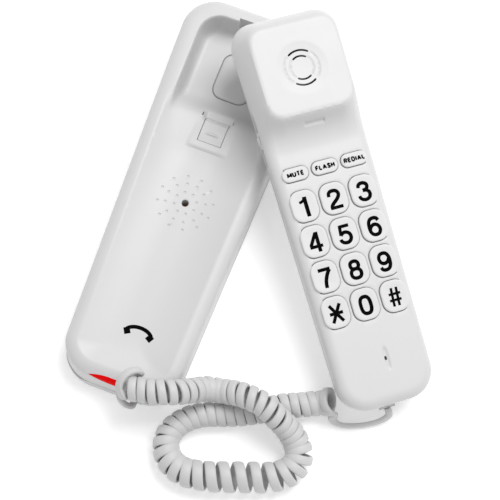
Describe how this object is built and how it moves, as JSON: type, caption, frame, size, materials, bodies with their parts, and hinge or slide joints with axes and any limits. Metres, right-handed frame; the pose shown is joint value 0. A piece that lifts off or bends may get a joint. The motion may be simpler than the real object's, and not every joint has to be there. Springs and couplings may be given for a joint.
{
  "type": "wall telephone",
  "caption": "Slimline corded wall telephone: a keyhole-mounted base with a hook button, a push-button handset leaning across it and a coiled cord joining them.",
  "frame": {"origin": "centre line of the base's flat back face, midway between its two wall keyholes", "axes": "+X across the base, +Y along the base towards its top, +Z out of its front"},
  "size_m": [0.1944, 0.2599, 0.0751],
  "materials": {
    "white_plastic": "satin",
    "key_plastic": "satin",
    "button_plastic": "satin",
    "steel": "plain",
    "brass_screw": "plain",
    "pad_rubber": "matt",
    "mat_rubber": "matt",
    "board": "solder-masked",
    "jack_plastic": "moulded",
    "plug_plastic": "clear",
    "lens_red": "translucent",
    "led_red": "translucent",
    "capsule": "moulded",
    "mic_metal": "plain",
    "cord_pvc": "soft"
  },
  "bodies": {
    "base": {"base_front_shell": "white_plastic", "base_back_cover": "white_plastic", "base_screws": "steel", "grille_screw": "brass_screw", "base_pads": "pad_rubber", "base_board": "board", "base_board_screws": "steel", "jack_board": "board", "cord_jack_base": "jack_plastic", "line_jack": "jack_plastic", "ringer": "capsule", "ring_lens": "lens_red", "ring_led": "led_red", "hook_spring": "steel", "hook_switch": "jack_plastic", "hook_board": "board", "cord_coil": "cord_pvc", "cord_tail_base": "cord_pvc", "cord_tail_handset": "cord_pvc", "plug_base": "plug_plastic"},
    "hook_button": {"hook_button": "button_plastic"},
    "wall_hook_tab": {"wall_hook_tab": "white_plastic"},
    "handset": {"handset_front_shell": "white_plastic", "handset_back_shell": "white_plastic", "handset_screws": "steel", "handset_board": "board", "handset_board_screws": "steel", "keypad_mat": "mat_rubber", "receiver": "capsule", "receiver_gasket": "pad_rubber", "microphone": "mic_metal", "microphone_boot": "pad_rubber", "cord_jack_handset": "jack_plastic", "volume_switch": "jack_plastic", "handset_weight": "steel", "plug_handset": "plug_plastic"},
    "volume_slider": {"volume_slider": "button_plastic"},
    "key_1": {"key_1": "key_plastic"},
    "key_2": {"key_2": "key_plastic"},
    "key_3": {"key_3": "key_plastic"},
    "key_4": {"key_4": "key_plastic"},
    "key_5": {"key_5": "key_plastic"},
    "key_6": {"key_6": "key_plastic"},
    "key_7": {"key_7": "key_plastic"},
    "key_8": {"key_8": "key_plastic"},
    "key_9": {"key_9": "key_plastic"},
    "key_star": {"key_star": "key_plastic"},
    "key_0": {"key_0": "key_plastic"},
    "key_hash": {"key_hash": "key_plastic"},
    "key_mute": {"key_mute": "key_plastic"},
    "key_flash": {"key_flash": "key_plastic"},
    "key_redial": {"key_redial": "key_plastic"}
  },
  "joints": [
    {"name": "handset_lift", "type": "slide", "parent": "base", "child": "handset", "axis": [0, 0, 1], "range_m": [0, 0.12]},
    {"name": "hook_button_press", "type": "slide", "parent": "base", "child": "hook_button", "axis": [0, 0, 1], "range_m": [-0.0025, 0], "stiffness_N_per_m": 250, "springref_m": 0.0005, "deforming": ["hook_spring"]},
    {"name": "wall_hook_tab_slide", "type": "slide", "parent": "base", "child": "wall_hook_tab", "axis": [0, 1, 0], "range_m": [0, 0.01]},
    {"name": "volume_slide", "type": "slide", "parent": "handset", "child": "volume_slider", "axis": [-0.5953, 0.7878, 0.1582], "range_m": [-0.008, 0.008]},
    {"name": "key_1_press", "type": "slide", "parent": "handset", "child": "key_1", "axis": [0.2055, -0.041, 0.9778], "range_m": [-0.0012, 0], "stiffness_N_per_m": 400, "springref_m": 0.0003},
    {"name": "key_2_press", "type": "slide", "parent": "handset", "child": "key_2", "axis": [0.2055, -0.041, 0.9778], "range_m": [-0.0012, 0], "stiffness_N_per_m": 400, "springref_m": 0.0003},
    {"name": "key_3_press", "type": "slide", "parent": "handset", "child": "key_3", "axis": [0.2055, -0.041, 0.9778], "range_m": [-0.0012, 0], "stiffness_N_per_m": 400, "springref_m": 0.0003},
    {"name": "key_4_press", "type": "slide", "parent": "handset", "child": "key_4", "axis": [0.2055, -0.041, 0.9778], "range_m": [-0.0012, 0], "stiffness_N_per_m": 400, "springref_m": 0.0003},
    {"name": "key_5_press", "type": "slide", "parent": "handset", "child": "key_5", "axis": [0.2055, -0.041, 0.9778], "range_m": [-0.0012, 0], "stiffness_N_per_m": 400, "springref_m": 0.0003},
    {"name": "key_6_press", "type": "slide", "parent": "handset", "child": "key_6", "axis": [0.2055, -0.041, 0.9778], "range_m": [-0.0012, 0], "stiffness_N_per_m": 400, "springref_m": 0.0003},
    {"name": "key_7_press", "type": "slide", "parent": "handset", "child": "key_7", "axis": [0.2055, -0.041, 0.9778], "range_m": [-0.0012, 0], "stiffness_N_per_m": 400, "springref_m": 0.0003},
    {"name": "key_8_press", "type": "slide", "parent": "handset", "child": "key_8", "axis": [0.2055, -0.041, 0.9778], "range_m": [-0.0012, 0], "stiffness_N_per_m": 400, "springref_m": 0.0003},
    {"name": "key_9_press", "type": "slide", "parent": "handset", "child": "key_9", "axis": [0.2055, -0.041, 0.9778], "range_m": [-0.0012, 0], "stiffness_N_per_m": 400, "springref_m": 0.0003},
    {"name": "key_star_press", "type": "slide", "parent": "handset", "child": "key_star", "axis": [0.2055, -0.041, 0.9778], "range_m": [-0.0012, 0], "stiffness_N_per_m": 400, "springref_m": 0.0003},
    {"name": "key_0_press", "type": "slide", "parent": "handset", "child": "key_0", "axis": [0.2055, -0.041, 0.9778], "range_m": [-0.0012, 0], "stiffness_N_per_m": 400, "springref_m": 0.0003},
    {"name": "key_hash_press", "type": "slide", "parent": "handset", "child": "key_hash", "axis": [0.2055, -0.041, 0.9778], "range_m": [-0.0012, 0], "stiffness_N_per_m": 400, "springref_m": 0.0003},
    {"name": "key_mute_press", "type": "slide", "parent": "handset", "child": "key_mute", "axis": [0.2055, -0.041, 0.9778], "range_m": [-0.0012, 0], "stiffness_N_per_m": 400, "springref_m": 0.0003},
    {"name": "key_flash_press", "type": "slide", "parent": "handset", "child": "key_flash", "axis": [0.2055, -0.041, 0.9778], "range_m": [-0.0012, 0], "stiffness_N_per_m": 400, "springref_m": 0.0003},
    {"name": "key_redial_press", "type": "slide", "parent": "handset", "child": "key_redial", "axis": [0.2055, -0.041, 0.9778], "range_m": [-0.0012, 0], "stiffness_N_per_m": 400, "springref_m": 0.0003}
  ]
}
